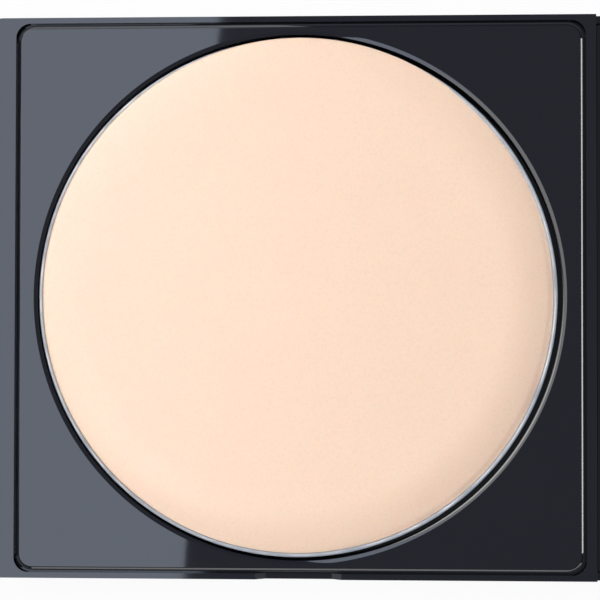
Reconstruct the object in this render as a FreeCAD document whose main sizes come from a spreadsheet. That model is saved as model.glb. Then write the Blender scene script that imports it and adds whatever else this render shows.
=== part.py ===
"""Make-up compact with one round pan of cream in a lift-out frame.

Millimetres, +Z up, +Y towards the hinge at the back. The origin is on the resting face, below the pan's axis.
The lid's pieces are drawn shut and their Placement turns them about the hinge, so the compact lies open.
"""

import FreeCAD
import Part
import Sketcher
import os
import re

from FreeCAD import Placement, Rotation, Vector

SIZES = [
    # the pan and its cream
    ("pan_diameter", 59.2, "pan across its rolled rim"),
    ("pan_height", 4.6, "pan from its base to the top of the rim"),
    ("pan_skin", 0.35, "thickness of the drawn metal"),
    ("rim_bead", 0.55, "width of the rolled rim"),
    ("bead_height", 0.5, "height of the rolled rim"),
    ("bead_bevel", 0.2, "bevel along the outer edge of the rolled rim"),
    ("pan_bevel", 1.2, "bevel outside where the wall meets the base"),
    ("pan_inside", 1.0, "bevel inside where the wall meets the base"),
    ("fill_gap", 0.04, "gap between cream and metal"),
    ("crown_rise", 1.05, "top of the cream above the rim"),
    ("edge_drop", 1.1, "fall of the cream from its top to its edge"),
    ("shoulder_run", 5.6, "width of the cream's rounded shoulder"),
    ("glue_side", 34, "side of the square of adhesive below the pan"),
    ("glue_corner", 4, "corner radius of that square"),
    ("glue_thick", 0.15, "thickness of the adhesive"),
    # the frame that carries the pan
    ("frame_width", 62.2, "frame from side to side"),
    ("frame_depth", 64.2, "frame from front to back"),
    ("frame_corner", 1.9, "corner radius of the frame"),
    ("frame_proud", 0.2, "top of the frame above the rim of the base"),
    ("frame_round", 0.5, "rounding of the frame's upper edge"),
    ("flange_thick", 1.6, "thickness of the frame's flange"),
    ("hole_gap", 0.25, "gap round the pan"),
    ("lip_width", 0.45, "width of the sloping lip round the pan"),
    ("lip_drop", 0.12, "fall of that lip"),
    ("rim_below", 0.1, "pan's rim below the top of the frame"),
    ("cup_wall", 0.5, "wall of the cup below the flange"),
    ("cup_floor", 1.0, "floor of the cup"),
    ("skirt_thick", 0.8, "thickness of the locating skirt"),
    ("skirt_drop", 2.0, "depth of the locating skirt"),
    ("skirt_gap", 0.2, "gap between skirt and well"),
    # the base
    ("case_width", 64, "case from side to side"),
    ("front_reach", 40.6, "front face from the pan's axis"),
    ("rear_reach", 36, "rear face from the pan's axis"),
    ("front_corner", 6, "corner radius at the front"),
    ("rear_corner", 2, "corner radius at the hinge"),
    ("base_height", 8, "height of the base's rim"),
    ("floor_thick", 1.4, "floor of the base"),
    ("foot_bevel", 1.2, "bevel of the base's lower edge"),
    ("foot_width", 3, "width of the band that the base rests on"),
    ("foot_relief", 0.4, "depth of the groove inside that band"),
    ("foot_groove", 1.0, "width of that groove"),
    ("panel_corner", 0.5, "corner radius of that groove towards the hinge"),
    ("recess_width", 62.7, "recess round the frame from side to side"),
    ("recess_depth", 65, "recess round the frame from front to back"),
    ("recess_corner", 1.7, "corner radius of the recess"),
    ("ledge_width", 0.8, "ledge that carries the frame"),
    ("rim_wall", 1.15, "rim between the recess and the front step"),
    ("front_step", 1.6, "fall from the rim to the front deck"),
    ("front_wall", 1.3, "wall in front of the catch"),
    ("bay_wall", 1.45, "wall beside the catch bay"),
    ("bay_corner", 0.3, "corner radius of the bay towards the recess"),
    ("cover_seat", 0.6, "seat round the cover of the catch bay"),
    ("cover_thick", 1.0, "thickness of that cover"),
    ("cover_gap", 0.1, "gap round that cover"),
    ("notch_top", 10, "fingernail notch along its upper edge"),
    ("notch_floor", 7.5, "fingernail notch along its floor"),
    ("notch_drop", 1.1, "depth of the fingernail notch"),
    ("rail_inner", 13.2, "inner face of the rails beside the button"),
    ("rail_thick", 1.2, "thickness of those rails"),
    # the hinge
    ("hinge_back", 2, "hinge axis behind the rear face"),
    ("hinge_rise", 0.1, "hinge axis above the rim of the base"),
    ("barrel_diameter", 3.4, "outside of the knuckles"),
    ("knuckle_reach", 22, "outer end of the base's knuckles"),
    ("knuckle_inner", 13, "inner end of the base's knuckles"),
    ("knuckle_gap", 0.2, "gap between neighbouring knuckles"),
    ("web_root", 0.5, "depth of the knuckle's web in the wall"),
    ("web_drop", 0.05, "top of the knuckle's web below the rim"),
    ("pin_diameter", 1.5, "steel hinge pins"),
    ("pin_length", 15.6, "length of a hinge pin"),
    ("pin_set", 0.2, "pin's outer end inside the knuckle's end"),
    ("press_gap", 0.01, "radial gap of a pin in the base"),
    ("running_gap", 0.05, "radial gap of a pin in the lid"),
    ("lid_open", 130, "angle at which the lid stands open"),
    ("stop_gap", 0.05, "gap between the lid's stop and the base"),
    ("stop_upper", 0.1, "upper end of the stop below the axis"),
    ("stop_lower", 1.2, "lower end of the stop below the axis"),
    ("stop_width", 10, "width of the stop"),
    ("heel_back", 0.85, "lower corner of the stop in front of the axis"),
    ("heel_drop", 1.42, "lower corner of the stop below the axis"),
    # the lid
    ("part_gap", 0.25, "gap between lid and base when shut"),
    ("lid_height", 6.45, "lid from its edge to its top"),
    ("lid_wall", 1.2, "wall of the lid"),
    ("lid_roof", 1.5, "top of the lid"),
    ("lid_round", 1.8, "rounding of the lid's upper edge"),
    ("liner_gap", 0.1, "gap round the liner"),
    ("liner_drop", 1.65, "face of the liner inside the lid's edge"),
    ("liner_bevel", 0.6, "bevel round the liner's window"),
    ("mirror_width", 55, "mirror from side to side"),
    ("mirror_depth", 66, "mirror from hinge to front"),
    ("mirror_thick", 1.6, "thickness of the glass"),
    ("mirror_corner", 2, "corner radius of the mirror"),
    ("mirror_lap", 1, "lap of the liner over the mirror"),
    ("mirror_gap", 0.2, "gap round the mirror"),
    ("mirror_play", 0.05, "gap between the mirror and the liner's lap"),
    ("tape_thick", 0.2, "thickness of the tape"),
    # the catch
    ("hook_reach", 36.8, "front face of the hook from the pan's axis"),
    ("hook_width", 8, "width of the hook"),
    ("hook_thick", 1.0, "thickness of the hook's tongue"),
    ("hook_tip", 2.3, "lower end of the hook above the resting face"),
    ("hook_toe", 0.6, "flat at the hook's lower end"),
    ("barb_reach", 0.6, "barb beyond the tongue"),
    ("barb_nose", 3.45, "lower end of the barb's face"),
    ("barb_level", 3.95, "top of the barb"),
    ("slot_width", 10, "slot in the cover from side to side"),
    ("slot_front", 37.6, "front edge of that slot from the pan's axis"),
    ("slot_rear", 34.8, "rear edge of that slot from the pan's axis"),
    ("button_width", 16, "button from side to side"),
    ("button_tall", 3.2, "height of the button's face"),
    ("button_level", 1.9, "lower edge of the button's face"),
    ("button_proud", 0.5, "button's face beyond the front of the base"),
    ("button_gap", 0.15, "gap round the button"),
    ("button_round", 0.4, "rounding of the button's face"),
    ("button_shift", 0.2, "button's flange behind the front wall"),
    ("flange_width", 25.2, "button's flange from side to side"),
    ("flange_deep", 0.8, "thickness of the button's flange"),
    ("flange_level", 1.6, "lower edge of the button's flange"),
    ("flange_tall", 3.6, "height of the button's flange"),
    ("arm_inner", 5.4, "inner face of the button's arms"),
    ("arm_thick", 1.6, "thickness of the button's arms"),
    ("bar_front", 35.65, "front edge of the catch bar from the pan's axis"),
    ("bar_deep", 0.9, "depth of the catch bar"),
    ("bar_level", 4.1, "lower edge of the catch bar"),
    ("bar_tall", 1.0, "height of the catch bar"),
    ("leaf_width", 23.4, "leaf spring from end to end"),
    ("leaf_thick", 0.2, "thickness of the leaf"),
    ("leaf_level", 2.0, "lower edge of the leaf"),
    ("leaf_tall", 3.0, "height of the leaf"),
    ("leaf_gap", 0.02, "gap at each side of the leaf"),
    # how features meet
    ("weld", 0.1, "how far a rib is rooted in the wall that carries it"),
    ("past", 1, "how far a cut runs past the face that it opens"),
]

ALIASES = {name for name, number, words in SIZES}
doc = FreeCAD.newDocument("cream_compact")
sheet = doc.addObject("Spreadsheet::Sheet", "Sizes")
for row, (name, number, words) in enumerate(SIZES, 1):
    sheet.set(f"A{row}", words)
    sheet.set(f"B{row}", str(number))
    sheet.setAlias(f"B{row}", name)
doc.recompute()

# Levels and lines that several pieces share, as expressions of the sheet
HALF_CASE = "case_width / 2"
CASE_PLAN = (f"-{HALF_CASE}", HALF_CASE, "-front_reach", "rear_reach", "front_corner", "rear_corner")
FRAME_TOP = "(base_height + frame_proud)"
FLANGE_FLOOR = f"({FRAME_TOP} - flange_thick)"
PAN_BASE = f"({FRAME_TOP} - rim_below - pan_height)"
CUP_FLOOR = f"({PAN_BASE} - glue_thick)"
HOLE_RADIUS = "(pan_diameter / 2 + hole_gap)"
PAN_INNER = "(pan_diameter / 2 - rim_bead)"
WELL_WIDTH = "(recess_width - 2 * ledge_width)"
WELL_DEPTH = "(recess_depth - 2 * ledge_width)"
STEP_LINE = "(recess_depth / 2 + rim_wall)"
DECK_LEVEL = "(base_height - front_step)"
COVER_LEVEL = f"({DECK_LEVEL} - cover_thick)"
WALL_INSIDE = "(front_reach - front_wall)"
AXIS_Y = "(rear_reach + hinge_back)"
AXIS_Z = "(base_height + hinge_rise)"
LID_EDGE = "(base_height + part_gap)"
SKIRT_EDGE = f"({DECK_LEVEL} + part_gap)"
ROOF_INSIDE = f"({LID_EDGE} + lid_height - lid_roof)"
LINER_FACE = f"({LID_EDGE} + liner_drop)"
LID_MIDDLE = "(rear_reach - front_reach) / 2"
PLANES = {"XY": "XY_Plane", "XZ": "XZ_Plane", "YZ": "YZ_Plane"}


def bound(text):
    """An expression with every size's name pointed at its cell."""
    return re.sub(r"[a-z_]+", lambda m: f"Sizes.{m[0]}" if m[0] in ALIASES else m[0], str(text))


def amount(text):
    """The present value of an expression."""
    return float(sheet.evalExpression(bound(text)))


def new_body(name):
    body = doc.addObject("PartDesign::Body", name)
    body.Label = name
    return body


def new_sketch(body, plane, name, level="0"):
    """A sketch on one of the body's own origin planes, moved along the plane's normal to a level."""
    sketch = body.newObject("Sketcher::SketchObject", name)
    support = next(f for f in body.Origin.OriginFeatures if f.Role == PLANES[plane])
    sketch.AttachmentSupport = [(support, "")]
    sketch.MapMode = "FlatFace"
    sketch.AttachmentOffset = Placement(Vector(0, 0, amount(level)), Rotation())
    sketch.setExpression("AttachmentOffset.Base.z", bound(level))
    return sketch


def drive(sketch, name, expression, *constraint):
    """One dimension of a sketch, held by an expression."""
    index = sketch.addConstraint(Sketcher.Constraint(*constraint, amount(expression)))
    sketch.renameConstraint(index, name)
    sketch.setExpression(f"Constraints.{name}", bound(expression))


def place(sketch, name, geometry, end, across, along):
    """Hold a point of a sketch at two expressions from the sketch's origin."""
    drive(sketch, f"{name}_across", across, "DistanceX", -1, 1, geometry, end)
    drive(sketch, f"{name}_along", along, "DistanceY", -1, 1, geometry, end)


def outline(body, plane, name, corners, level="0"):
    """A closed outline of straight sides through corners given as pairs of expressions."""
    sketch = new_sketch(body, plane, name, level)
    points = [Vector(amount(a), amount(b), 0) for a, b in corners]
    last = len(points) - 1
    for i, point in enumerate(points):
        sketch.addGeometry(Part.LineSegment(point, points[i - last]), False)
    for i, (across, along) in enumerate(corners):
        sketch.addConstraint(Sketcher.Constraint("Coincident", i, 2, (i + 1) % len(points), 1))
        place(sketch, f"corner{i}", i, 1, across, along)
    return sketch


def rectangle(body, plane, name, left, right, low, high, level="0"):
    corners = [(left, low), (right, low), (right, high), (left, high)]
    return outline(body, plane, name, corners, level)


def rounded(body, name, left, right, near, far, near_corner, far_corner, level="0"):
    """A horizontal rectangle with one corner radius at its near end and one at its far end."""
    sketch = new_sketch(body, "XY", name, level)
    x0, x1, y0, y1 = (amount(side) for side in (left, right, near, far))
    radii = [near_corner, far_corner, far_corner, near_corner]
    r0, r1 = amount(near_corner), amount(far_corner)
    sides = [
        (Vector(x0 + r0, y0, 0), Vector(x1 - r0, y0, 0)),
        (Vector(x1, y0 + r0, 0), Vector(x1, y1 - r1, 0)),
        (Vector(x1 - r1, y1, 0), Vector(x0 + r1, y1, 0)),
        (Vector(x0, y1 - r1, 0), Vector(x0, y0 + r0, 0)),
    ]
    centres = [(x1 - r0, y0 + r0), (x1 - r1, y1 - r1), (x0 + r1, y1 - r1), (x0 + r0, y0 + r0)]
    right_angle = FreeCAD.Units.Quantity("90 deg").getValueAs("rad").Value
    for i, (start, end) in enumerate(sides):
        circle = Part.Circle(Vector(*centres[i], 0), Vector(0, 0, 1), amount(radii[i]))
        sketch.addGeometry(Part.LineSegment(start, end), False)
        sketch.addGeometry(Part.ArcOfCircle(circle, right_angle * (i - 1), right_angle * i), False)
    for i in range(8):
        sketch.addConstraint(Sketcher.Constraint("Tangent", i, 2, (i + 1) % 8, 1))
    for i, kind in enumerate(["Horizontal", "Vertical", "Horizontal", "Vertical"]):
        sketch.addConstraint(Sketcher.Constraint(kind, 2 * i))
        drive(sketch, f"radius{i}", radii[i], "Radius", 2 * i + 1)
    drive(sketch, "near", near, "DistanceY", -1, 1, 0, 1)
    drive(sketch, "right", right, "DistanceX", -1, 1, 2, 1)
    drive(sketch, "far", far, "DistanceY", -1, 1, 4, 1)
    drive(sketch, "left", left, "DistanceX", -1, 1, 6, 1)
    return sketch


def centred(body, name, width, depth, middle, corner, level):
    """A rounded rectangle about a point on the Y axis, with all corners alike."""
    half = f"({width}) / 2"
    near = f"{middle} - ({depth}) / 2"
    far = f"{middle} + ({depth}) / 2"
    return rounded(body, name, f"-{half}", half, near, far, corner, corner, level)


def round_profile(body, plane, name, across, along, radius, level="0"):
    """A circle whose centre is at two expressions from the sketch's origin."""
    sketch = new_sketch(body, plane, name, level)
    circle = Part.Circle(Vector(amount(across), amount(along), 0), Vector(0, 0, 1), amount(radius))
    sketch.addGeometry(circle, False)
    drive(sketch, "radius", radius, "Radius", 0)
    place(sketch, "centre", 0, 3, across, along)
    return sketch


def add(body, sketch, length, both_sides=False, reverse=False):
    """Pad a sketch along its normal, about its plane, or against its normal."""
    pad = body.newObject("PartDesign::Pad", f"{sketch.Name}_pad")
    pad.Profile = sketch
    pad.setExpression("Length", bound(length))
    pad.Midplane = both_sides
    pad.Reversed = reverse
    doc.recompute()
    return pad


def cut(body, sketch, length, both_sides=False, reverse=False):
    """Pocket a sketch against, about or along its normal, and see that it removes something."""
    before = body.Shape.Volume
    pocket = body.newObject("PartDesign::Pocket", f"{sketch.Name}_pocket")
    pocket.Profile = sketch
    pocket.setExpression("Length", bound(length))
    pocket.Midplane = both_sides
    pocket.Reversed = reverse
    doc.recompute()
    if body.Shape.Volume >= before:
        raise RuntimeError(f"{body.Label}: {sketch.Name} removes nothing")
    return pocket


def turn(body, sketch, kind="Revolution"):
    """Revolve a profile once round the upright axis of its sketch, as a Revolution or as a Groove."""
    feature = body.newObject(f"PartDesign::{kind}", f"{sketch.Name}_turn")
    feature.Profile = sketch
    feature.ReferenceAxis = (sketch, ["V_Axis"])
    feature.Angle = 360
    doc.recompute()
    return feature


def soften(body, name, size, wanted, kind="Fillet"):
    """Round the edges whose middle point passes a test, or bevel them where the kind is Chamfer."""
    base = body.Tip
    edges = []
    for number, edge in enumerate(base.Shape.Edges, 1):
        middle = edge.valueAt((edge.FirstParameter + edge.LastParameter) / 2)
        if wanted(edge, middle):
            edges.append(f"Edge{number}")
    feature = body.newObject(f"PartDesign::{kind}", name)
    feature.Base = (base, edges)
    feature.setExpression("Radius" if kind == "Fillet" else "Size", bound(size))
    doc.recompute()
    return feature


def close(one, other):
    return abs(one - other) < 1e-4


def flat_at(edge, height):
    """True for an edge that lies level at a height."""
    return close(edge.BoundBox.ZMin, amount(height)) and close(edge.BoundBox.ZMax, amount(height))


def open_lid(body):
    """Turn a piece of the lid back about the hinge to the angle at which it stands open."""
    middle = f"vector(0; {AXIS_Y}; {AXIS_Z})"
    back = "rotation(vector(1; 0; 0); -lid_open)"
    body.setExpression("Placement", bound(f"placement(vector(0; 0; 0); {back}; {middle})"))


def make_base_shell():
    body = new_body("base_shell")
    add(body, rounded(body, "case_plan", *CASE_PLAN), "base_height")
    soften(body, "foot_edge", "foot_bevel", lambda edge, middle: flat_at(edge, "0"), "Chamfer")
    wide = f"({HALF_CASE} + past)"
    deck_sides = (f"-{wide}", wide, "-front_reach - past", f"-{STEP_LINE}")
    cut(body, rectangle(body, "XY", "front_deck", *deck_sides, "base_height"), "front_step")
    cut_recess(body)
    cut_catch_bay(body)
    groove_underside(body)
    cut_notch(body)
    add_knuckles(body)
    return body


def cut_recess(body):
    """The stepped recess: a ledge carries the frame, and the well below it takes the cup and skirt."""
    recess = centred(body, "recess", "recess_width", "recess_depth", "0", "recess_corner", "base_height")
    cut(body, recess, f"base_height - {FLANGE_FLOOR}")
    well = centred(body, "well", WELL_WIDTH, WELL_DEPTH, "0", "recess_corner", FLANGE_FLOOR)
    cut(body, well, f"{FLANGE_FLOOR} - floor_thick")


def cut_catch_bay(body):
    """The bay behind the front wall, with the cover's seat, rails for the button and the button's window."""
    half_bay = f"({HALF_CASE} - bay_wall)"
    bay_sides = (f"-{half_bay}", half_bay, f"-{WALL_INSIDE}", f"-{STEP_LINE}")
    bay = rounded(body, "bay", *bay_sides, "front_corner - front_wall", "bay_corner", DECK_LEVEL)
    cut(body, bay, f"{DECK_LEVEL} - floor_thick")
    half_seat = f"({half_bay} + cover_seat)"
    seat_sides = (f"-{half_seat}", half_seat, f"-{WALL_INSIDE} - cover_seat", f"-{STEP_LINE}")
    seat_corner = "front_corner - front_wall + cover_seat"
    cut(body, rounded(body, "seat", *seat_sides, seat_corner, "bay_corner", DECK_LEVEL), "cover_thick")
    rail_ends = (f"-{WALL_INSIDE} - weld", f"-{STEP_LINE} + weld")
    outer = "(rail_inner + rail_thick)"
    rails = (("left_rail", f"-{outer}", "-rail_inner"), ("right_rail", "rail_inner", outer))
    for name, left, right in rails:
        rail = rectangle(body, "XY", name, left, right, *rail_ends, "floor_thick - weld")
        add(body, rail, f"{COVER_LEVEL} - floor_thick + weld")
    half_window = "(button_width / 2 + button_gap)"
    window_sides = (f"-{half_window}", half_window, "button_level - button_gap")
    window_top = "button_level + button_tall + button_gap"
    window = rectangle(body, "XZ", "button_window", *window_sides, window_top, "front_reach + past")
    cut(body, window, "front_wall + past + weld")


def groove_underside(body):
    """A groove inside the band that the base rests on, round a panel that is level with the band."""
    steps = (("groove", "foot_width", cut), ("panel", "(foot_width + foot_groove)", add))
    for name, inset, make in steps:
        half_panel = f"({HALF_CASE} - {inset})"
        panel_sides = (f"-{half_panel}", half_panel, f"-front_reach + {inset}", f"rear_reach - {inset}")
        panel = rounded(body, name, *panel_sides, f"front_corner - {inset}", "panel_corner")
        make(body, panel, "foot_relief", reverse=make is cut)


def cut_notch(body):
    """The fingernail notch in the side wall, wider at the top, to lift the frame out."""
    corners = [
        ("-notch_floor / 2", "base_height - notch_drop"),
        ("notch_floor / 2", "base_height - notch_drop"),
        ("notch_top / 2", "base_height + weld"),
        ("-notch_top / 2", "base_height + weld"),
    ]
    notch = outline(body, "YZ", "notch", corners, f"-{HALF_CASE} - weld")
    cut(body, notch, f"{HALF_CASE} - recess_width / 2 + 2 * weld", reverse=True)


def add_knuckles(body):
    """One barrel on its web, cut in two round the lid's knuckle and bored for the pins."""
    web_low = f"{AXIS_Z} - barrel_diameter / 2"
    web = rectangle(body, "YZ", "web", "rear_reach - web_root", AXIS_Y, web_low, "base_height - web_drop")
    add(body, web, "2 * knuckle_reach", both_sides=True)
    barrel = round_profile(body, "YZ", "barrel", AXIS_Y, AXIS_Z, "barrel_diameter / 2")
    add(body, barrel, "2 * knuckle_reach", both_sides=True)
    gap_reach = ("rear_reach", f"{AXIS_Y} + barrel_diameter")
    gap_heights = (f"{web_low} - past", f"{AXIS_Z} + barrel_diameter")
    lid_gap = rectangle(body, "YZ", "lid_gap", *gap_reach, *gap_heights)
    cut(body, lid_gap, "2 * knuckle_inner", both_sides=True)
    bore = round_profile(body, "YZ", "bore", AXIS_Y, AXIS_Z, "pin_diameter / 2 + press_gap")
    cut(body, bore, "2 * (knuckle_reach + past)", both_sides=True)


def make_front_cover():
    body = new_body("front_cover")
    half = f"({HALF_CASE} - bay_wall + cover_seat - cover_gap)"
    near = f"-{WALL_INSIDE} - cover_seat + cover_gap"
    corner = "front_corner - front_wall + cover_seat - cover_gap"
    sides = (f"-{half}", half, near, f"-{STEP_LINE} - cover_gap")
    add(body, rounded(body, "cover_plan", *sides, corner, "bay_corner", COVER_LEVEL), "cover_thick")
    slot_sides = ("-slot_width / 2", "slot_width / 2", "-slot_front", "-slot_rear")
    cut(body, rectangle(body, "XY", "slot", *slot_sides, DECK_LEVEL), "cover_thick")
    return body


def make_refill_frame():
    """A square flange with a locating skirt, and a turned cup whose mouth has a sloping lip."""
    body = new_body("refill_frame")
    flange = centred(body, "flange", "frame_width", "frame_depth", "0", "frame_corner", FLANGE_FLOOR)
    add(body, flange, "flange_thick")
    soften(body, "frame_edge", "frame_round", lambda edge, middle: flat_at(edge, FRAME_TOP))
    skirt_width = f"{WELL_WIDTH} - 2 * skirt_gap"
    skirt_depth = f"{WELL_DEPTH} - 2 * skirt_gap"
    skirt = centred(body, "skirt", skirt_width, skirt_depth, "0", "recess_corner", FLANGE_FLOOR)
    add(body, skirt, "skirt_drop", reverse=True)
    inside = (f"{skirt_width} - 2 * skirt_thick", f"{skirt_depth} - 2 * skirt_thick")
    skirt_end = f"{FLANGE_FLOOR} - skirt_drop"
    hollow = centred(body, "skirt_inside", *inside, "0", "recess_corner", skirt_end)
    cut(body, hollow, "skirt_drop", reverse=True)
    cup_radius = f"({HOLE_RADIUS} + cup_wall)"
    cup_base = f"({CUP_FLOOR} - cup_floor)"
    cup_corners = [
        ("0", cup_base),
        (cup_radius, cup_base),
        (cup_radius, f"{FLANGE_FLOOR} + flange_thick / 2"),
        ("0", f"{FLANGE_FLOOR} + flange_thick / 2"),
    ]
    turn(body, outline(body, "XZ", "cup", cup_corners))
    hole_corners = [
        ("0", CUP_FLOOR),
        (HOLE_RADIUS, CUP_FLOOR),
        (HOLE_RADIUS, f"{FRAME_TOP} - lip_drop"),
        (f"{HOLE_RADIUS} + lip_width", FRAME_TOP),
        ("0", FRAME_TOP),
    ]
    turn(body, outline(body, "XZ", "hole", hole_corners), "Groove")
    return body


def make_pan():
    """Drawn metal, turned from its section: base, bevelled bend, wall and rolled rim."""
    body = new_body("pan")
    outer = "(pan_diameter / 2)"
    wall = f"({PAN_INNER} + pan_skin)"
    top = f"({PAN_BASE} + pan_height)"
    floor = f"({PAN_BASE} + pan_skin)"
    corners = [
        ("0", PAN_BASE),
        (f"{wall} - pan_bevel", PAN_BASE),
        (wall, f"{PAN_BASE} + pan_bevel"),
        (wall, f"{top} - bead_height"),
        (outer, f"{top} - bead_height"),
        (outer, f"{top} - bead_bevel"),
        (f"{outer} - bead_bevel", top),
        (PAN_INNER, top),
        (PAN_INNER, f"{floor} + pan_inside"),
        (f"{PAN_INNER} - pan_inside", floor),
        ("0", floor),
    ]
    turn(body, outline(body, "XZ", "section", corners))
    return body


def make_pan_adhesive():
    body = new_body("pan_adhesive")
    add(body, centred(body, "pad", "glue_side", "glue_side", "0", "glue_corner", CUP_FLOOR), "glue_thick")
    return body


def make_cream():
    """The poured make-up: flat on top, with a rounded shoulder that falls to the rim along one arc."""
    body = new_body("cream")
    radius = f"({PAN_INNER} - fill_gap)"
    low = f"({PAN_BASE} + pan_skin + fill_gap)"
    top = f"({PAN_BASE} + pan_height + crown_rise)"
    flat = f"({radius} - shoulder_run)"
    bend = "((shoulder_run ^ 2 + edge_drop ^ 2) / (2 * edge_drop))"
    corners = [
        ("0", top),
        ("0", low),
        (f"{radius} - pan_inside", low),
        (radius, f"{low} + pan_inside"),
        (radius, f"{top} - edge_drop"),
        (flat, top),
    ]
    sketch = new_sketch(body, "XZ", "section")
    points = [Vector(amount(a), amount(b), 0) for a, b in corners]
    shoulder = len(points) - 2
    for i in range(shoulder):
        sketch.addGeometry(Part.LineSegment(points[i], points[i + 1]), False)
    centre = Vector(amount(flat), amount(top) - amount(bend), 0)
    circle = Part.Circle(centre, Vector(0, 0, 1), amount(bend))
    edge, crown = (circle.parameter(point) for point in points[-2:])
    sketch.addGeometry(Part.ArcOfCircle(circle, edge, crown), False)
    sketch.addGeometry(Part.LineSegment(points[-1], points[0]), False)
    for i, (across, along) in enumerate(corners):
        sketch.addConstraint(Sketcher.Constraint("Coincident", i, 2, (i + 1) % len(points), 1))
        place(sketch, f"corner{i}", i, 1, across, along)
    drive(sketch, "bend", bend, "Radius", shoulder)
    turn(body, sketch)
    return body


def make_push_button():
    """The button's face, the flange that keeps it in, and two arms with the bar that holds the hook."""
    body = new_body("push_button")
    half = "button_width / 2"
    rear = f"({WALL_INSIDE} - button_shift - flange_deep)"
    front = "(front_reach + button_proud)"
    face_sides = (f"-{half}", half, "button_level", "button_level + button_tall")
    add(body, rectangle(body, "XZ", "face", *face_sides, front), f"{front} - {rear}", reverse=True)
    soften(body, "face_edge", "button_round", lambda edge, middle: close(middle.y, -amount(front)))
    half_flange = "flange_width / 2"
    flange_sides = (f"-{half_flange}", half_flange, "flange_level", "flange_level + flange_tall")
    add(body, rectangle(body, "XZ", "flange", *flange_sides, rear), "flange_deep")
    bar_rear = "(bar_front - bar_deep)"
    outer = "(arm_inner + arm_thick)"
    arm_heights = ("flange_level", "bar_level + bar_tall")
    arms = (("left_arm", f"-{outer}", "-arm_inner"), ("right_arm", "arm_inner", outer))
    for name, left, right in arms:
        arm = rectangle(body, "XZ", name, left, right, *arm_heights, bar_rear)
        add(body, arm, f"{rear} - {bar_rear} + weld")
    bar = rectangle(body, "XZ", "bar", f"-{outer}", outer, "bar_level", "bar_level + bar_tall", bar_rear)
    add(body, bar, "bar_deep")
    return body


def make_catch_spring():
    """A leaf between two arcs about one centre, bowed forward to the catch bar, its ends on the rear wall."""
    body = new_body("catch_spring")
    half = "(leaf_width / 2)"
    hollow = "(-bar_front + bar_deep + leaf_gap + leaf_thick)"
    ends = f"(-{STEP_LINE} - leaf_gap)"
    rise = f"({ends} - {hollow})"
    inner = f"(({half} ^ 2 + {rise} ^ 2) / (2 * {rise}))"
    outer = f"({inner} + leaf_thick)"
    middle = f"({hollow} + {inner})"
    sketch = new_sketch(body, "XY", "bow", "leaf_level")
    centre = Vector(0, amount(middle), 0)
    for radius in (inner, outer):
        circle = Part.Circle(centre, Vector(0, 0, 1), amount(radius))
        level = amount(f"{middle} - sqrt({radius} ^ 2 - {half} ^ 2)")
        start, end = (circle.parameter(Vector(side * amount(half), level, 0)) for side in (-1, 1))
        sketch.addGeometry(Part.ArcOfCircle(circle, start, end), False)
    arcs = sketch.Geometry
    sketch.addGeometry(Part.LineSegment(arcs[0].StartPoint, arcs[1].StartPoint), False)
    sketch.addGeometry(Part.LineSegment(arcs[0].EndPoint, arcs[1].EndPoint), False)
    for line, end in ((2, 1), (3, 2)):
        sketch.addConstraint(Sketcher.Constraint("Coincident", 0, end, line, 1))
        sketch.addConstraint(Sketcher.Constraint("Coincident", 1, end, line, 2))
        sketch.addConstraint(Sketcher.Constraint("Vertical", line))
    sketch.addConstraint(Sketcher.Constraint("Coincident", 0, 3, 1, 3))
    place(sketch, "centre", 0, 3, "0", middle)
    drive(sketch, "inner", inner, "Radius", 0)
    drive(sketch, "outer", outer, "Radius", 1)
    drive(sketch, "left_end", f"-{half}", "DistanceX", -1, 1, 0, 1)
    drive(sketch, "right_end", half, "DistanceX", -1, 1, 0, 2)
    add(body, sketch, "leaf_tall")
    return body


def make_hinge_pin(name, side):
    body = new_body(name)
    end = "(knuckle_reach - pin_set)"
    start = f"{end} - pin_length" if side > 0 else f"-{end}"
    add(body, round_profile(body, "YZ", "section", AXIS_Y, AXIS_Z, "pin_diameter / 2", start), "pin_length")
    return body


def turned_shut(across, along):
    """A point of the standing lid, measured from the hinge axis, where it lies when the lid is shut."""
    cosine, sine = "cos(lid_open * 1 deg)", "sin(lid_open * 1 deg)"
    y = f"{AXIS_Y} + ({across}) * {cosine} - ({along}) * {sine}"
    z = f"{AXIS_Z} + ({across}) * {sine} + ({along}) * {cosine}"
    return y, z


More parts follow.
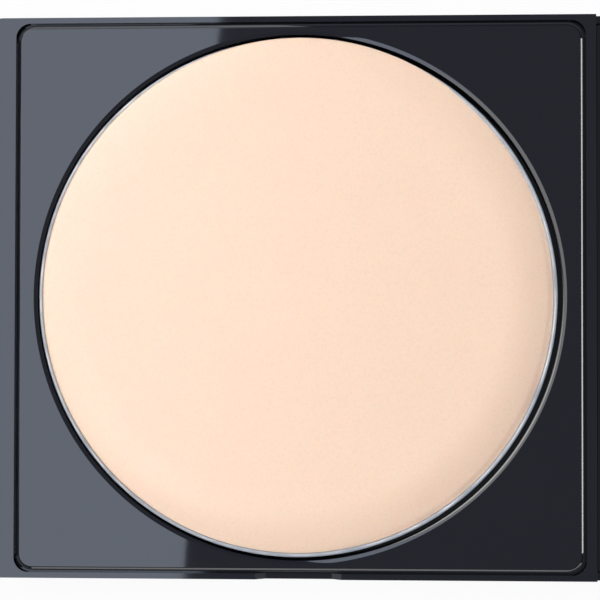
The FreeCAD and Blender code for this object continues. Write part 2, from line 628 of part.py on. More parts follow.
def make_lid_shell():
    body = new_body("lid_shell")
    add(body, rounded(body, "lid_plan", *CASE_PLAN, SKIRT_EDGE), "front_step + lid_height")
    soften(body, "upper_edge", "lid_round", lambda edge, middle: flat_at(edge, f"{LID_EDGE} + lid_height"))
    wide = f"({HALF_CASE} + past)"
    raised = (f"-{wide}", wide, f"-{STEP_LINE} - part_gap", "rear_reach + past")
    cut(body, rectangle(body, "XY", "raised_edge", *raised, SKIRT_EDGE), "front_step", reverse=True)
    half = f"({HALF_CASE} - lid_wall)"
    hollow_sides = (f"-{half}", half, "-front_reach + lid_wall", "rear_reach - lid_wall")
    hollow_corners = ("front_corner - lid_wall", "rear_corner - lid_wall")
    hollow = rounded(body, "hollow", *hollow_sides, *hollow_corners, SKIRT_EDGE)
    cut(body, hollow, f"{ROOF_INSIDE} - {SKIRT_EDGE}", reverse=True)
    width = "2 * (knuckle_inner - knuckle_gap)"
    web_high = f"{AXIS_Z} + barrel_diameter / 2"
    web = rectangle(body, "YZ", "web", "rear_reach - web_root", AXIS_Y, LID_EDGE, web_high)
    add(body, web, width, both_sides=True)
    barrel = round_profile(body, "YZ", "barrel", AXIS_Y, AXIS_Z, "barrel_diameter / 2")
    add(body, barrel, width, both_sides=True)
    face = "-(hinge_back - stop_gap)"
    stop_corners = [
        turned_shut("0", "0"),
        turned_shut(face, "-stop_upper"),
        turned_shut(face, "-stop_lower"),
        turned_shut("-heel_back", "-heel_drop"),
    ]
    add(body, outline(body, "YZ", "stop", stop_corners), "stop_width", both_sides=True)
    bore = round_profile(body, "YZ", "bore", AXIS_Y, AXIS_Z, "pin_diameter / 2 + running_gap")
    cut(body, bore, f"{width} + past", both_sides=True)
    open_lid(body)
    return body


def make_lid_liner():
    body = new_body("lid_liner")
    inset = "(lid_wall + liner_gap)"
    half = f"({HALF_CASE} - {inset})"
    plan_sides = (f"-{half}", half, f"-front_reach + {inset}", f"rear_reach - {inset}")
    plan_corners = (f"front_corner - {inset}", f"rear_corner - {inset}")
    plan = rounded(body, "liner_plan", *plan_sides, *plan_corners, LINER_FACE)
    add(body, plan, f"{ROOF_INSIDE} - {LINER_FACE}")
    pocket_size = ("mirror_width + 2 * mirror_gap", "mirror_depth + 2 * mirror_gap")
    pocket = centred(body, "mirror_pocket", *pocket_size, LID_MIDDLE, "mirror_corner", ROOF_INSIDE)
    cut(body, pocket, "tape_thick + mirror_thick + mirror_play")
    window_size = ("mirror_width - 2 * mirror_lap", "mirror_depth - 2 * mirror_lap")
    window = centred(body, "window", *window_size, LID_MIDDLE, "mirror_corner", ROOF_INSIDE)
    cut(body, window, f"{ROOF_INSIDE} - {LINER_FACE}")
    half_window = amount("mirror_width / 2 - mirror_lap + weld")
    window_reach = amount("mirror_depth / 2 - mirror_lap + weld")

    def along_window(edge, middle):
        beside = abs(middle.x) < half_window
        return flat_at(edge, LINER_FACE) and beside and abs(middle.y - amount(LID_MIDDLE)) < window_reach

    soften(body, "window_edge", "liner_bevel", along_window, "Chamfer")
    rear = "-hook_reach + hook_thick"
    barb = f"{rear} + barb_reach"
    hook_corners = [
        ("-hook_reach", f"{LINER_FACE} + weld"),
        ("-hook_reach", "hook_tip"),
        ("-hook_reach + hook_toe", "hook_tip"),
        (barb, "barb_nose"),
        (barb, "barb_level"),
        (rear, "barb_level"),
        (rear, f"{LINER_FACE} + weld"),
    ]
    add(body, outline(body, "YZ", "hook", hook_corners), "hook_width", both_sides=True)
    open_lid(body)
    return body


def make_mirror():
    body = new_body("mirror")
    size = ("mirror_width", "mirror_depth")
    level = f"{ROOF_INSIDE} - tape_thick - mirror_thick"
    add(body, centred(body, "glass", *size, LID_MIDDLE, "mirror_corner", level), "mirror_thick")
    open_lid(body)
    return body


def make_mirror_tape():
    body = new_body("mirror_tape")
    size = ("mirror_width - 2 * mirror_lap", "mirror_depth - 2 * mirror_lap")
    level = f"{ROOF_INSIDE} - tape_thick"
    add(body, centred(body, "tape", *size, LID_MIDDLE, "mirror_corner", level), "tape_thick")
    open_lid(body)
    return body


pieces = [
    make_base_shell(),
    make_front_cover(),
    make_refill_frame(),
    make_pan(),
    make_pan_adhesive(),
    make_cream(),
    make_push_button(),
    make_catch_spring(),
    make_hinge_pin("hinge_pin_left", -1),
    make_hinge_pin("hinge_pin_right", 1),
    make_lid_shell(),
    make_lid_liner(),
    make_mirror(),
    make_mirror_tape(),
]
doc.recompute()

for item in doc.Objects:
    if {"Invalid", "Error"} & set(item.State):
        raise RuntimeError(f"{item.Label} did not build: {item.State}")
for piece in pieces:
    if piece.Shape.isNull() or not piece.Shape.isValid() or len(piece.Shape.Solids) != 1:
        raise RuntimeError(f"{piece.Label} is not one valid solid")

os.makedirs("parts", exist_ok=True)
for piece in pieces:
    piece.Shape.exportStep(f"parts/{piece.Label}.step")
    print(f"{piece.Label}: {piece.Shape.Volume:.1f} mm3")
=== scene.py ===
# %% [markdown]
# # A cream make-up compact
# The compact lies open on a white table: a gloss black case, a square frame that lifts out, a metal pan
# and a pale cream. The CAD model fixes where everything is, so it is loaded first and each piece is laid
# over it. Everything is in metres, with +Z up and +Y towards the hinge.

import math

import bmesh
import bpy
import numpy as np
from mathutils import Matrix, Quaternion, Vector


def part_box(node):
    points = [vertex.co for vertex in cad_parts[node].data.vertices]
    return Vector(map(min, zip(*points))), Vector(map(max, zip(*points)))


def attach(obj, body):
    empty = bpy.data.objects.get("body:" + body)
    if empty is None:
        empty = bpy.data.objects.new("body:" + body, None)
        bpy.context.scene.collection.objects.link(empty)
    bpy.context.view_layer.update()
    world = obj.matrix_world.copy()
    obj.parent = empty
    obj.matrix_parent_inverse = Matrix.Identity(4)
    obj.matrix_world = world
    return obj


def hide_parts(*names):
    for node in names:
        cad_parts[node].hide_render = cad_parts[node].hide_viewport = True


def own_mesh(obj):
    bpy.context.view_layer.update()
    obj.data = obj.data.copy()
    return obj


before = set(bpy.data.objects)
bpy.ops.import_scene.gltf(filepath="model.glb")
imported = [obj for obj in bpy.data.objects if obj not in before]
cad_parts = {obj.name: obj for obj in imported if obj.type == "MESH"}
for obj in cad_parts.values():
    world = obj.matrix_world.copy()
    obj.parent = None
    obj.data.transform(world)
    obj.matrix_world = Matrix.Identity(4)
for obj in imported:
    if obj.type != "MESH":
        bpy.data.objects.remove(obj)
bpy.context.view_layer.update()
scene = bpy.context.scene
MM = 0.001

# %% [markdown]
# ## Surfaces through loops
# Cream, pan and frame are all one section carried round: rings for the first two, and for the frame rings
# that turn into rounded squares. They could be spun or modelled by hand. A list of loops keeps every
# radius and bevel a named number. Neighbouring loops have the same number of points, so a skin of quads
# joins them.


# %% Skins through loops
def skin(name, loops):
    """A closed mesh through loops of points: quads join neighbours, and triangles join a loop to a pole.

    The loops run from the middle seen from above, outwards, and back to the middle of the underside, which
    turns every face outwards. A pole is a loop of one point, so a quad has one corner fewer there."""
    starts = np.cumsum([0] + [len(loop) for loop in loops])
    faces = []
    for row, (near, far) in enumerate(zip(loops[:-1], loops[1:])):
        here = np.arange(max(len(near), len(far)))
        after = (here + 1) % len(here)
        first = [starts[row] + step % len(near) for step in (after, here)[:len(near)]]
        second = [starts[row + 1] + step % len(far) for step in (here, after)[-len(far):]]
        faces += np.stack(first + second, 1).tolist()
    mesh = bpy.data.meshes.new(name)
    mesh.from_pydata(np.concatenate(loops).tolist(), [], faces)
    return mesh


def circle(angles, radius, height):
    """A level circle about the Z axis: radius times the cosine and sine of each angle."""
    return np.stack([radius * np.cos(angles), radius * np.sin(angles), np.full_like(angles, height)], 1)


def pole(height):
    """A loop of one point on the Z axis, which closes a skin."""
    return np.array([[0.0, 0.0, height]])


def rounded_square(half_x, half_y, corner, height, per_side=56, per_corner=12):
    """A level rectangle with round corners: four quarter circles, each followed by a straight side."""
    signs = np.array([(1, -1), (1, 1), (-1, 1), (-1, -1)])
    centres = signs * [half_x - corner, half_y - corner]
    sweep = np.linspace(0, math.pi / 2, per_corner) + np.arange(-1, 3)[:, None] * math.pi / 2
    arcs = centres[:, None] + corner * np.stack([np.cos(sweep), np.sin(sweep)], 2)
    ends = arcs[:, -1:]
    along = np.linspace(0, 1, per_side + 2)[1:-1, None]
    sides = ends + (np.roll(arcs, -1, 0)[:, :1] - ends) * along
    plan = np.concatenate([arcs, sides], 1).reshape(-1, 2)
    return np.column_stack([plan, np.full(len(plan), height)])


print("loops ready")

# %% [markdown]
# ## Copies of CAD nodes
# The moulded pieces have their right shape in the CAD, but their edges are sharp, and the edge of a real
# moulding catches a thin line of light. Rounding them all in the CAD would cost thousands of faces. So a
# copy of the node is merged back into flat faces, and a Bevel modifier rounds the edges that are still
# sharp.

# %% Finished pieces
SAME_POINT = 0.001 * MM
SAME_PLANE = math.radians(0.5)
BEVEL_FROM = math.radians(35)
BEVEL_STEPS = 3
SHARP_FROM = math.radians(40)


def merged(node):
    """A copy of a CAD node's mesh whose triangles are merged into flat faces."""
    work = bmesh.new()
    work.from_mesh(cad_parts[node].data)
    bmesh.ops.remove_doubles(work, verts=work.verts, dist=SAME_POINT)
    bmesh.ops.dissolve_limit(work, angle_limit=SAME_PLANE, verts=work.verts, edges=work.edges)
    mesh = bpy.data.meshes.new(node)
    work.to_mesh(mesh)
    work.free()
    return mesh


def finish_piece(name, mesh, material, body, node, edge=0.0):
    """Shade a mesh smoothly, round its sharp edges, add its material, hang it on its body and hide its CAD
    node.
    """
    piece = bpy.data.objects.new(name, mesh)
    scene.collection.objects.link(piece)
    mesh.materials.append(material)
    mesh.shade_smooth()
    if edge:
        bevel = piece.modifiers.new("edge rounds", "BEVEL")
        bevel.width = edge
        bevel.segments = BEVEL_STEPS
        bevel.limit_method = "ANGLE"
        bevel.angle_limit = BEVEL_FROM
        bevel.miter_outer = "MITER_ARC"
    else:
        mesh.set_sharp_from_angle(angle=SHARP_FROM)
    normals = piece.modifiers.new("flat faces stay flat", "WEIGHTED_NORMAL")
    normals.keep_sharp = True
    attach(piece, body)
    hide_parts(node)
    return piece


print("piece helpers ready")

# %% [markdown]
# ## Materials
# Each material is a small tree of nodes, and patterns come from noise and not from pictures, so they hold
# at any distance. Object coordinates are turned to millimetres first, so that a pattern has the size of
# the real one. Colours are written as they look, in sRGB.


# %% Material helpers
def linear(code):
    """Linear RGBA of an sRGB hex colour."""
    parts = [int(code[i:i + 2], 16) / 255 for i in (1, 3, 5)]
    return [c / 12.92 if c <= 0.04045 else ((c + 0.055) / 1.055) ** 2.4 for c in parts] + [1.0]


def put(tree, kind, settings=None, result=None, **inputs):
    """Add a node, set its properties and inputs, and give back an output.

    An input goes by its identifier, with _ for a space. A socket is linked to it, any other value is set.
    The output is the named one, or else the first that is in use."""
    made = tree.nodes.new(kind)
    for key, value in (settings or {}).items():
        setattr(made, key, value)
    sockets = {socket.identifier.replace(" ", "_"): socket for socket in made.inputs}
    for key, value in inputs.items():
        if isinstance(value, bpy.types.NodeSocket):
            tree.links.new(value, sockets[key])
        else:
            sockets[key].default_value = value
    return made.outputs[result] if result else next((s for s in made.outputs if s.enabled), None)


def new_material(name):
    """An empty material, and its object coordinates in millimetres."""
    material = bpy.data.materials.new(name)
    material.use_nodes = True
    tree = material.node_tree
    tree.nodes.clear()
    metres = put(tree, "ShaderNodeTexCoord", result="Object")
    where = put(tree, "ShaderNodeVectorMath", {"operation": "SCALE"}, Vector=metres, Scale=1 / MM)
    return material, tree, where


RGBA = {"data_type": "RGBA"}
print("material helpers ready")

# %% [markdown]
# ## Black plastic
# Case, frame, liner and button are moulded ABS. A polished mould leaves a skin like a mirror, and as the
# plastic cools it sinks in slow waves, which bend what it reflects. A plain black would look like a hole.
# So the waves, a fine skin, wiped patches that are a little duller and a few grains of dust are drawn at
# their real size.

# %% Black plastic
SINK_WAVE = 9.0
MOULD_SKIN = 0.35
WIPED_PATCH = 14.0
WIPED_DULLER = 1.7
DUST_SPACING = 5.0
DUST_GRAIN = 0.09
DUST_CORE = 0.06
DUST_ROUGH = 0.8


def black_plastic(name, colour, rough, wave_depth, skin_depth):
    """Moulded ABS: slow waves and a fine skin in relief, wiped patches in its gloss, and grains of dust."""
    material, tree, where = new_material(name)
    waves = put(tree, "ShaderNodeTexNoise", Vector=where, Scale=1 / SINK_WAVE, Detail=1.0)
    sunk = put(tree, "ShaderNodeBump", Height=waves, Distance=wave_depth, Strength=1.0)
    grain = put(tree, "ShaderNodeTexNoise", Vector=where, Scale=1 / MOULD_SKIN, Detail=3.0)
    bumped = put(tree, "ShaderNodeBump", Height=grain, Distance=skin_depth, Strength=1.0, Normal=sunk)
    wiped = put(tree, "ShaderNodeTexNoise", Vector=where, Scale=1 / WIPED_PATCH, Detail=4.0)
    spots = put(tree, "ShaderNodeTexVoronoi", Vector=where, Scale=1 / DUST_SPACING)
    dust = put(
        tree, "ShaderNodeMapRange", Value=spots,
        From_Min=DUST_GRAIN / DUST_SPACING, From_Max=DUST_CORE / DUST_SPACING,
    )
    sheen = put(
        tree, "ShaderNodeMapRange", Value=wiped,
        From_Min=0.35, From_Max=0.7, To_Min=rough, To_Max=rough * WIPED_DULLER,
    )
    gloss = put(tree, "ShaderNodeMix", Factor_Float=dust, A_Float=sheen, B_Float=DUST_ROUGH)
    tone = put(
        tree, "ShaderNodeMix", RGBA, Factor_Float=wiped, A_Color=linear(colour), B_Color=linear("#15161d")
    )
    shade = put(tree, "ShaderNodeMix", RGBA, Factor_Float=dust, A_Color=tone, B_Color=linear("#8e8c88"))
    plastic = put(
        tree, "ShaderNodeBsdfPrincipled", Base_Color=shade, Roughness=gloss, IOR=1.5, Normal=bumped
    )
    put(tree, "ShaderNodeOutputMaterial", Surface=plastic)
    return material


# Polished ABS gives sharp, dark reflections. The liner's blasted mould and the button's worn one blur
# them.
case_black = black_plastic(
    "polished black ABS", "#10121a", rough=0.03, wave_depth=0.004 * MM, skin_depth=0.00003 * MM
)
frame_black = black_plastic(
    "mirror-polished black ABS", "#10121a", rough=0.022, wave_depth=0.005 * MM, skin_depth=0.00003 * MM
)
liner_black = black_plastic(
    "satin black ABS", "#101113", rough=0.32, wave_depth=0.003 * MM, skin_depth=0.004 * MM
)
button_black = black_plastic(
    "semi-gloss black ABS", "#0d0e10", rough=0.18, wave_depth=0.002 * MM, skin_depth=0.001 * MM
)
print("plastics ready")

# %% [markdown]
# ## Cream
# The make-up is pigment in wax and oil, poured warm and left to set. Light goes a little way into it and
# comes back warmer, which softens its shading, so it has some subsurface scattering. Its skin has the
# sheen of wax. The mottling is faint, and the pores are drawn coarser than real ones, or they would not
# show.

# %% Cream material
MOTTLE = 7.0
SWELL = 6.0
PORE = 0.28


def poured_cream():
    """Wax cream: faint mottling, a slow swell, and pores that roughen its sheen."""
    material, tree, where = new_material("poured wax cream")
    mottle = put(tree, "ShaderNodeTexNoise", Vector=where, Scale=1 / MOTTLE, Detail=4.0)
    pores = put(tree, "ShaderNodeTexNoise", Vector=where, Scale=1 / PORE, Detail=3.0)
    swell = put(tree, "ShaderNodeTexNoise", Vector=where, Scale=1 / SWELL, Detail=2.0)
    swollen = put(tree, "ShaderNodeBump", Height=swell, Distance=0.02 * MM, Strength=1.0)
    bumped = put(tree, "ShaderNodeBump", Height=pores, Distance=0.004 * MM, Strength=1.0, Normal=swollen)
    tone = put(
        tree, "ShaderNodeMix", RGBA, Factor_Float=mottle,
        A_Color=linear("#feddc3"), B_Color=linear("#fcd9bf"),
    )
    gloss = put(
        tree, "ShaderNodeMapRange", Value=pores, From_Min=0.3, From_Max=0.7, To_Min=0.24, To_Max=0.34
    )
    cream = put(
        tree, "ShaderNodeBsdfPrincipled", Base_Color=tone, Roughness=gloss, IOR=1.44, Normal=bumped,
        Subsurface_Weight=0.25, Subsurface_Scale=0.8 * MM, Subsurface_Radius=(1.0, 0.5, 0.3),
    )
    put(tree, "ShaderNodeOutputMaterial", Surface=cream)
    return material


# Wax cream gives a soft, warm shading and a faint sheen.
cream_peach = poured_cream()
print("cream ready")

# %% [markdown]
# ## Metal, glass and tape
# The pan is drawn from aluminium sheet, and the die leaves fine rings about its axis, which spread a
# highlight. Spring and pins are steel wire and strip with the same kind of lines. The mirror is glass
# silvered at the back, with faint smudges. The tapes are foam: matt and mottled.

# %% Metal, glass and tape
DULL_PATCH = 3.0
PATCH_DULLER = 1.8
SMUDGE = 11.0
FOAM_CELL = 0.6


def drawn_metal(name, colour, rough, ring, depth):
    """Drawn metal: noise of the distance from the Z axis and of the height gives rings of a width in mm."""
    material, tree, where = new_material(name)
    split = put(tree, "ShaderNodeSeparateXYZ", Vector=where).node.outputs
    level = put(tree, "ShaderNodeCombineXYZ", X=split["X"], Y=split["Y"])
    out = put(tree, "ShaderNodeVectorMath", {"operation": "LENGTH"}, Vector=level)
    section = put(tree, "ShaderNodeCombineXYZ", X=out, Y=split["Z"])
    rings = put(tree, "ShaderNodeTexNoise", Vector=section, Scale=1 / ring, Detail=3.0)
    dull = put(tree, "ShaderNodeTexNoise", Vector=where, Scale=1 / DULL_PATCH, Detail=3.0)
    gloss = put(
        tree, "ShaderNodeMapRange", Value=dull,
        From_Min=0.3, From_Max=0.7, To_Min=rough, To_Max=rough * PATCH_DULLER,
    )
    tone = put(
        tree, "ShaderNodeMix", RGBA, Factor_Float=rings, A_Color=linear(colour), B_Color=linear("#d6d7d8")
    )
    bumped = put(tree, "ShaderNodeBump", Height=rings, Distance=depth, Strength=1.0)
    metal = put(
        tree, "ShaderNodeBsdfPrincipled", Base_Color=tone, Metallic=1.0, Roughness=gloss, Normal=bumped
    )
    put(tree, "ShaderNodeOutputMaterial", Surface=metal)
    return material


def silvered_glass():
    """A mirror: bright silver under a clear coat, with smudges that dull it a little."""
    material, tree, where = new_material("silvered glass")
    smudge = put(tree, "ShaderNodeTexNoise", Vector=where, Scale=1 / SMUDGE, Detail=5.0)
    gloss = put(
        tree, "ShaderNodeMapRange", Value=smudge, From_Min=0.5, From_Max=0.75, To_Min=0.004, To_Max=0.012
    )
    tone = put(
        tree, "ShaderNodeMix", RGBA, Factor_Float=smudge,
        A_Color=linear("#eef2f1"), B_Color=linear("#e6ecea"),
    )
    silver = put(
        tree, "ShaderNodeBsdfPrincipled", Base_Color=tone, Metallic=1.0, Roughness=gloss, Coat_Weight=0.5
    )
    put(tree, "ShaderNodeOutputMaterial", Surface=silver)
    return material


def foam_tape():
    """Foam: cells that show as a mottled tone and a slight relief."""
    material, tree, where = new_material("foam tape")
    cells = put(tree, "ShaderNodeTexNoise", Vector=where, Scale=1 / FOAM_CELL, Detail=4.0)
    tone = put(
        tree, "ShaderNodeMix", RGBA, Factor_Float=cells,
        A_Color=linear("#d9d9d4"), B_Color=linear("#f0f0ec"),
    )
    bumped = put(tree, "ShaderNodeBump", Height=cells, Distance=0.01 * MM, Strength=1.0)
    foam = put(tree, "ShaderNodeBsdfPrincipled", Base_Color=tone, Roughness=0.7, Normal=bumped)
    put(tree, "ShaderNodeOutputMaterial", Surface=foam)
    return material


# Dull drawn aluminium shows a soft grey line, and brighter steel a sharp one. The mirror shows the room
# with a faint haze, and the tape is a pale, matt edge.
aluminium = drawn_metal("drawn aluminium", "#c6cdd6", rough=0.58, ring=0.12, depth=0.002 * MM)
steel = drawn_metal("spring steel", "#b9bcc0", rough=0.22, ring=0.2, depth=0.002 * MM)
mirror_silver = silvered_glass()
tape_white = foam_tape()
print("materials:", len(bpy.data.materials))

# %% [markdown]
# ## The cream
# It was poured a little above the rim and set with a rounded shoulder, lower towards the front, and on
# one side it laps over the rim. A sculpted mesh could show that, but a formula keeps the top as smooth as
# a poured one. Pan and cream sit a little off the middle of their cup, so the gap round them is wider at
# the front.

# %% Cream
POINTS_ROUND = 288
ANGLES = np.linspace(0, 2 * math.pi, POINTS_ROUND, endpoint=False)
cream_low, cream_high = (np.array(corner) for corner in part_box("cream"))
CREAM_RADIUS = (cream_high[1] - cream_low[1]) / 2
RIM_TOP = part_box("pan")[1][2]
LEVEL_RINGS = 24
FIRST_RING = 0.08
SHOULDER_RINGS = 22
SHOULDER_RUN = 5.6 * MM
EDGE_DROP = 1.05 * MM
LEAN = 0.75
LEAN_TOWARDS = math.radians(243)
ROLL_OFF = 40
LAP = 0.5 * MM
LAP_RISE = 0.18 * MM
LAP_TOWARDS = math.radians(-8)
LAP_POWER = 8
SETTLED = np.array([0.0, 0.2, 0.0]) * MM


def cream_loops():
    """Rings from the middle of the top, over the shoulder, down the wall and in to the base.

    The shoulder falls with the square of the run, and most towards the front, as a pour set on a tilt.
    Where that would leave its edge above the rim, a high power of the same run brings it down to the rim.
    The lap widens and lifts the edge by a power of (1 + cosine) / 2, which is largest near +X."""
    top = cream_high[2]
    drop = EDGE_DROP * (1 + LEAN * np.cos(ANGLES - LEAN_TOWARDS))
    proud = np.clip(top - drop - RIM_TOP, 0, None)
    flat = CREAM_RADIUS - SHOULDER_RUN
    run = np.sin(np.linspace(0, math.pi / 2, SHOULDER_RINGS)[1:, None])
    share = run ** 2
    lap = share * ((np.cos(ANGLES - LAP_TOWARDS) + 1) / 2) ** LAP_POWER
    radius = flat + SHOULDER_RUN * run + LAP * lap
    height = top - share * drop - share ** ROLL_OFF * proud + LAP_RISE * lap
    shoulder = np.stack([radius * np.cos(ANGLES), radius * np.sin(ANGLES), height], 2)
    level = [circle(ANGLES, reach, top) for reach in np.linspace(FIRST_RING, 1, LEVEL_RINGS) * flat]
    wall = [circle(ANGLES, CREAM_RADIUS, foot) for foot in (top - 2 * EDGE_DROP, cream_low[2])]
    return [pole(top), *level, *shoulder, *wall, pole(cream_low[2])]


cream_mesh = skin("cream_fill", [loop + SETTLED for loop in cream_loops()])
finish_piece("cream_fill", cream_mesh, cream_peach, "base", "cream")
print("cream radius mm:", round(CREAM_RADIUS / MM, 2))

# %% [markdown]
# ## The pan
# A shallow dish drawn from aluminium sheet, with its rim rolled outwards: in the photo it is the bright
# line round the cream. A spun profile is the natural way to make it, and as rings it shares the skin of
# the other pieces.

# %% Pan
pan_low, pan_high = (np.array(corner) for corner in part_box("pan"))
PAN_RADIUS = pan_high[1]
BEAD = 0.42 * MM
BEAD_RINGS = 13
BEAD_INSET = 0.13 * MM
BEAD_HEIGHT = 0.5 * MM
SHEET = 0.35 * MM
BASE_BEND = 1.2 * MM
BEND_RINGS = 8


def pan_loops():
    """Rings up the inside wall, round the rolled rim's half circle, down the outside and in to the base."""
    outer = PAN_RADIUS - BEAD_INSET
    inner = outer - BEAD
    wall = inner + SHEET
    loops = [pole(pan_low[2] + SHEET), circle(ANGLES, inner, pan_low[2] + SHEET)]
    for turn in np.linspace(math.pi, 0, BEAD_RINGS):
        reach = outer - BEAD / 2 + BEAD / 2 * math.cos(turn)
        loops.append(circle(ANGLES, reach, pan_high[2] - BEAD / 2 + BEAD / 2 * math.sin(turn)))
    loops += [circle(ANGLES, reach, pan_high[2] - BEAD_HEIGHT) for reach in (outer, wall)]
    for turn in np.linspace(0, math.pi / 2, BEND_RINGS):
        reach = wall - BASE_BEND + BASE_BEND * math.cos(turn)
        loops.append(circle(ANGLES, reach, pan_low[2] + BASE_BEND - BASE_BEND * math.sin(turn)))
    return loops + [pole(pan_low[2])]


pan_mesh = skin("pan_metal", [loop + SETTLED for loop in pan_loops()])
finish_piece("pan_metal", pan_mesh, aluminium, "base", "pan")
print("pan radius mm:", round(PAN_RADIUS / MM, 2))

# %% [markdown]
# ## The lift-out frame
# A square plate with bevelled edges and a round hole with a sloping lip, and below it a cup for the pan.
# The bevels matter most: each reflects one lamp as a thin bright line. A Bevel modifier can't give lip
# and outer edge their own slopes, so both are worked out as a slope with a small arc at each end.

# %% Frame
plate_low, plate_high = (np.array(corner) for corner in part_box("refill_frame"))
PLATE_REACH = 0.15 * MM
HALF_X, HALF_Y, TOP = plate_high + [0, PLATE_REACH, 0]
CORNER = 1.9 * MM
BEVEL_RUN = 0.45 * MM
BEVEL_TILT = math.radians(33)
BEVEL_ROUND = 0.12 * MM
HOLE_GAP = 0.25 * MM
HOLE_RADIUS = PAN_RADIUS + HOLE_GAP
LIP_RUN = 0.45 * MM
LIP_TILT = math.radians(15)
LIP_ROUND = 0.06 * MM
FLANGE = 1.6 * MM
GLUE = 0.15 * MM
CUP_WALL = 0.5 * MM
ARC_POINTS = 5


def eased_bevel(run, tilt, small):
    """A falling bevel as pairs (run, fall), from the flat top to an upright wall.

    Two arcs of one small radius join the straight slope to the flat and to the wall."""
    steps = np.linspace(0, 1, ARC_POINTS)
    first = np.stack([small * np.sin(tilt * steps), small * (1 - np.cos(tilt * steps))], 1)
    rest = tilt + (math.pi / 2 - tilt) * steps
    last = np.stack([small * (np.sin(rest) - math.sin(tilt)), small * (math.cos(tilt) - np.cos(rest))], 1)
    slope = run - first[-1, 0] - last[-1, 0]
    last += first[-1] + [slope, slope * math.tan(tilt)]
    return np.concatenate([first, last])


def frame_loops():
    """Loops up the hole's wall, over its sloping lip, across the top, over the outer bevel and down."""
    outline = rounded_square(HALF_X, HALF_Y, CORNER, TOP)
    angles = np.arctan2(outline[:, 1], outline[:, 0])
    floor = pan_low[2] - GLUE
    under = TOP - FLANGE
    cup = HOLE_RADIUS + CUP_WALL
    loops = [pole(floor), circle(angles, HOLE_RADIUS, floor)]
    for run, fall in eased_bevel(LIP_RUN, LIP_TILT, LIP_ROUND)[::-1]:
        loops.append(circle(angles, HOLE_RADIUS + LIP_RUN - run, TOP - fall))
    for run, fall in eased_bevel(BEVEL_RUN, BEVEL_TILT, BEVEL_ROUND):
        inset = BEVEL_RUN - run
        loops.append(rounded_square(HALF_X - inset, HALF_Y - inset, CORNER - inset, TOP - fall))
    loops.append(rounded_square(HALF_X, HALF_Y, CORNER, under))
    loops += [circle(angles, cup, under), circle(angles, cup, plate_low[2]), pole(plate_low[2])]
    return loops


frame_mesh = skin("lift_out_frame", frame_loops())
finish_piece("lift_out_frame", frame_mesh, frame_black, "base", "refill_frame")
print("frame mm:", round(2 * HALF_X / MM, 1), "by", round(2 * HALF_Y / MM, 1))

# %% [markdown]
# ## The case
# Base, cover, lid, liner and button are mouldings whose shape comes from the CAD. They get softened
# copies, with the rounds of 0.1 mm that a mould leaves on its edges.

# %% Case
case_pieces = [
    ("case_base", "base_shell", "base", "case_plastic", case_black, 0.12 * MM),
    ("bay_cover", "front_cover", "base", "case_plastic", case_black, 0.1 * MM),
    ("catch_button", "push_button", "button", "catch_plastic", button_black, 0.1 * MM),
    ("case_lid", "lid_shell", "lid", "case_plastic", case_black, 0.12 * MM),
    ("mirror_liner", "lid_liner", "lid", "liner_plastic", liner_black, 0.1 * MM),
]
for name, node, body, slot, material, edge in case_pieces:
    piece = finish_piece(name, merged(node), material, body, node, edge)
    print(name, "faces:", len(piece.data.polygons))

# %% [markdown]
# ## The catch's spring
# A bowed leaf of steel behind the button. Pressing the button flattens the bow against the wall behind
# it. The copy of the leaf gets a mesh of its own.

# %% Spring
leaf = finish_piece("catch_leaf", merged("catch_spring"), steel, "base", "catch_spring")
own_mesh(leaf)

# %% [markdown]
# ## Pieces that keep their CAD shape
# Mirror, hinge pins, adhesive and tape are plain sheets and rods, mostly covered by the pieces round
# them. Their CAD shape is all there is to see, so they only get their materials.

# %% Kept nodes
kept = {
    "mirror": mirror_silver,
    "hinge_pin_left": steel,
    "hinge_pin_right": steel,
    "pan_adhesive": tape_white,
    "mirror_tape": tape_white,
}
for node, material in kept.items():
    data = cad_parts[node].data
    data.materials.clear()
    data.materials.append(material)
print("kept:", ", ".join(kept))

# %% [markdown]
# ## Table
# The photo's ground is pure white. More light would bleach the cream, so the card itself glows at a
# strength of 1 where the camera or a reflection sees it, and stays plain card for the light that falls on
# the compact. A share of plain card is left in, which keeps the shadow. It lies a hair below the base, so
# that two faces never meet.

# %% Table
CARD_GLOW = 0.93
CARD_FIBRE = 1.2
TABLE_REACH = 3.0
TABLE_DROP = 0.02 * MM


def white_card():
    """Card: diffuse paper, mixed with a white glow where a camera, glossy or transmission ray sees it."""
    material, tree, where = new_material("white card")
    fibres = put(tree, "ShaderNodeTexNoise", Vector=where, Scale=1 / CARD_FIBRE, Detail=4.0)
    tone = put(
        tree, "ShaderNodeMix", RGBA, Factor_Float=fibres,
        A_Color=linear("#f2f2f2"), B_Color=linear("#f8f8f8"),
    )
    bumped = put(tree, "ShaderNodeBump", Height=fibres, Distance=0.02 * MM, Strength=1.0)
    paper = put(tree, "ShaderNodeBsdfDiffuse", Color=tone, Normal=bumped)
    glow = put(tree, "ShaderNodeEmission", Color=linear("#ffffff"), Strength=1.0)
    path = put(tree, "ShaderNodeLightPath").node.outputs
    seen = path["Is Camera Ray"]
    for ray in ("Is Glossy Ray", "Is Transmission Ray"):
        seen = put(tree, "ShaderNodeMath", {"operation": "MAXIMUM"}, Value=seen, Value_001=path[ray])
    share = put(tree, "ShaderNodeMapRange", Value=seen, To_Max=CARD_GLOW)
    card = put(tree, "ShaderNodeMixShader", Fac=share, Shader=paper, Shader_001=glow)
    put(tree, "ShaderNodeOutputMaterial", Surface=card)
    return material


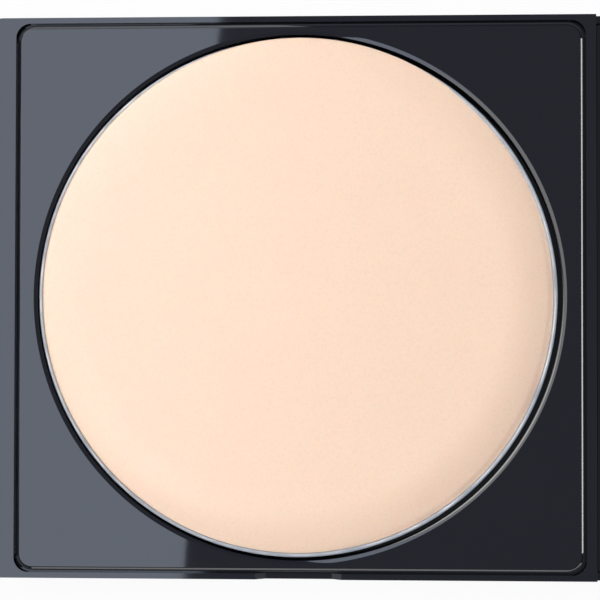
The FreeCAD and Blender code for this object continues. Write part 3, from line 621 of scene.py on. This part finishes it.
table_mesh = bpy.data.meshes.new("table")
signs = ((-1, -1), (1, -1), (1, 1), (-1, 1))
corners = [(x * TABLE_REACH, y * TABLE_REACH, -TABLE_DROP) for x, y in signs]
table_mesh.from_pydata(corners, [], [(0, 1, 2, 3)])
table = bpy.data.objects.new("table", table_mesh)
scene.collection.objects.link(table)
# White card gives an even ground with a soft shadow.
table_mesh.materials.append(white_card())
print("table ready")

# %% [markdown]
# ## Light
# Gloss black shows its surroundings, so the lamps are placed by what the frame reflects. Three softboxes
# hang in a row from above the pan to beyond the hinge: the edge of the first is the border between light
# and dark in the plate. That border slants, so the first two are turned a little. A narrow lamp low in
# front of the catch and a reflector low at each side draw the lines along the bevels.


# %% Light
def softbox(name, place, aim, width, length, radiance, colour, turn=0.0):
    """A rectangular lamp aimed at a point and turned about its own axis.

    Its power is the radiance times pi times the area."""
    lamp = bpy.data.lights.new(name, "AREA")
    lamp.shape = "RECTANGLE"
    lamp.size = width
    lamp.size_y = length
    lamp.energy = radiance * math.pi * width * length
    lamp.color = colour
    holder = bpy.data.objects.new(name, lamp)
    scene.collection.objects.link(holder)
    holder.location = place
    aimed = (Vector(aim) - Vector(place)).to_track_quat("-Z", "Y")
    holder.rotation_euler = (aimed @ Quaternion((0, 0, 1), turn)).to_euler()
    holder.visible_camera = False


ROW_TURN = math.radians(-3.4)
COMPACT = (0, 0, 0.01)
WARM_WHITE = (1.0, 0.98, 0.96)
softbox(
    "overhead softbox", place=(0.05, 0.102, 0.508), aim=(0.05, 0.102, 0.0), width=0.62, length=0.084,
    radiance=3.4, colour=(0.74, 0.83, 1.0), turn=ROW_TURN,
)
softbox(
    "rear softbox", place=(0.02, 0.223, 0.508), aim=(0.02, 0.223, 0.0), width=0.6, length=0.153,
    radiance=3.4, colour=WARM_WHITE, turn=ROW_TURN,
)
softbox(
    "key softbox", place=(0.2, 0.37, 0.508), aim=(0.0, 0.05, 0.0), width=0.5, length=0.25,
    radiance=5.7, colour=WARM_WHITE,
)
softbox(
    "front lamp", place=(0.02, -0.5, 0.18), aim=COMPACT, width=0.2, length=0.045,
    radiance=12.5, colour=(1.0, 0.97, 0.93),
)
softbox(
    "low reflector", place=(-0.47, -0.2, 0.2), aim=COMPACT, width=0.8, length=0.06,
    radiance=3.0, colour=(1.0, 0.98, 0.95),
)
softbox(
    "side reflector", place=(0.44, 0.25, 0.15), aim=COMPACT, width=0.5, length=0.08,
    radiance=2.0, colour=(0.96, 0.98, 1.0),
)
print("lights:", len(bpy.data.lights))

# %% [markdown]
# ## Room
# What no lamp covers, the black plastic still reflects: pale walls along the horizon, a dim band above
# them and a ceiling that is a little paler. A picture of a room could give that, but three tones by
# height are easier to match to the plate. The height runs from -1 straight down to 1 straight up.

# %% Room
WALL_GLOW = 1.0
DIM_GLOW = 0.15
CEILING_GLOW = 0.38
WALL_FROM, WALL_TO = 0.06, 0.3
CEILING_FROM, CEILING_TO = 0.7, 0.95
world = bpy.data.worlds.new("studio")
scene.world = world
world.use_nodes = True
sky = world.node_tree
sky.nodes.clear()
where = put(sky, "ShaderNodeTexCoord", result="Generated")
height = put(sky, "ShaderNodeSeparateXYZ", result="Z", Vector=where)
walls = put(
    sky, "ShaderNodeMapRange", Value=height,
    From_Min=WALL_FROM, From_Max=WALL_TO, To_Min=WALL_GLOW, To_Max=DIM_GLOW,
)
ceiling = put(
    sky, "ShaderNodeMapRange", Value=height,
    From_Min=CEILING_FROM, From_Max=CEILING_TO, To_Min=DIM_GLOW, To_Max=CEILING_GLOW,
)
glow = put(sky, "ShaderNodeMath", {"operation": "MAXIMUM"}, Value=walls, Value_001=ceiling)
room = put(sky, "ShaderNodeBackground", Color=linear("#e9eefb"), Strength=glow)
put(sky, "ShaderNodeOutputWorld", Surface=room)
print("room nodes:", len(sky.nodes))

# %% [markdown]
# ## Camera
# The photo looks down from about 25 cm, a little from the front, with the hinge to its left. Eye, aim and
# lens were fitted to the edges of the case, frame and pan in the photo.

# %% Camera
EYE = Vector((-7.93, -14.68, 259.95)) * MM
AIM = Vector((-0.36, -0.16, 8.0)) * MM
camera_data = bpy.data.cameras.new("camera")
camera_data.sensor_width = 36
camera_data.lens = 133.5
camera_data.clip_start = 0.01
camera = bpy.data.objects.new("camera", camera_data)
scene.collection.objects.link(camera)
scene.camera = camera
ahead = (AIM - EYE).normalized()
front = Vector((0, -1, 0))
right = (front - ahead * ahead.dot(front)).normalized()
up = right.cross(ahead)
camera.matrix_world = Matrix.Translation(EYE) @ Matrix((right, up, -ahead)).transposed().to_4x4()
scene.view_settings.view_transform = "Standard"
print("camera height mm:", round(EYE.z / MM, 1))
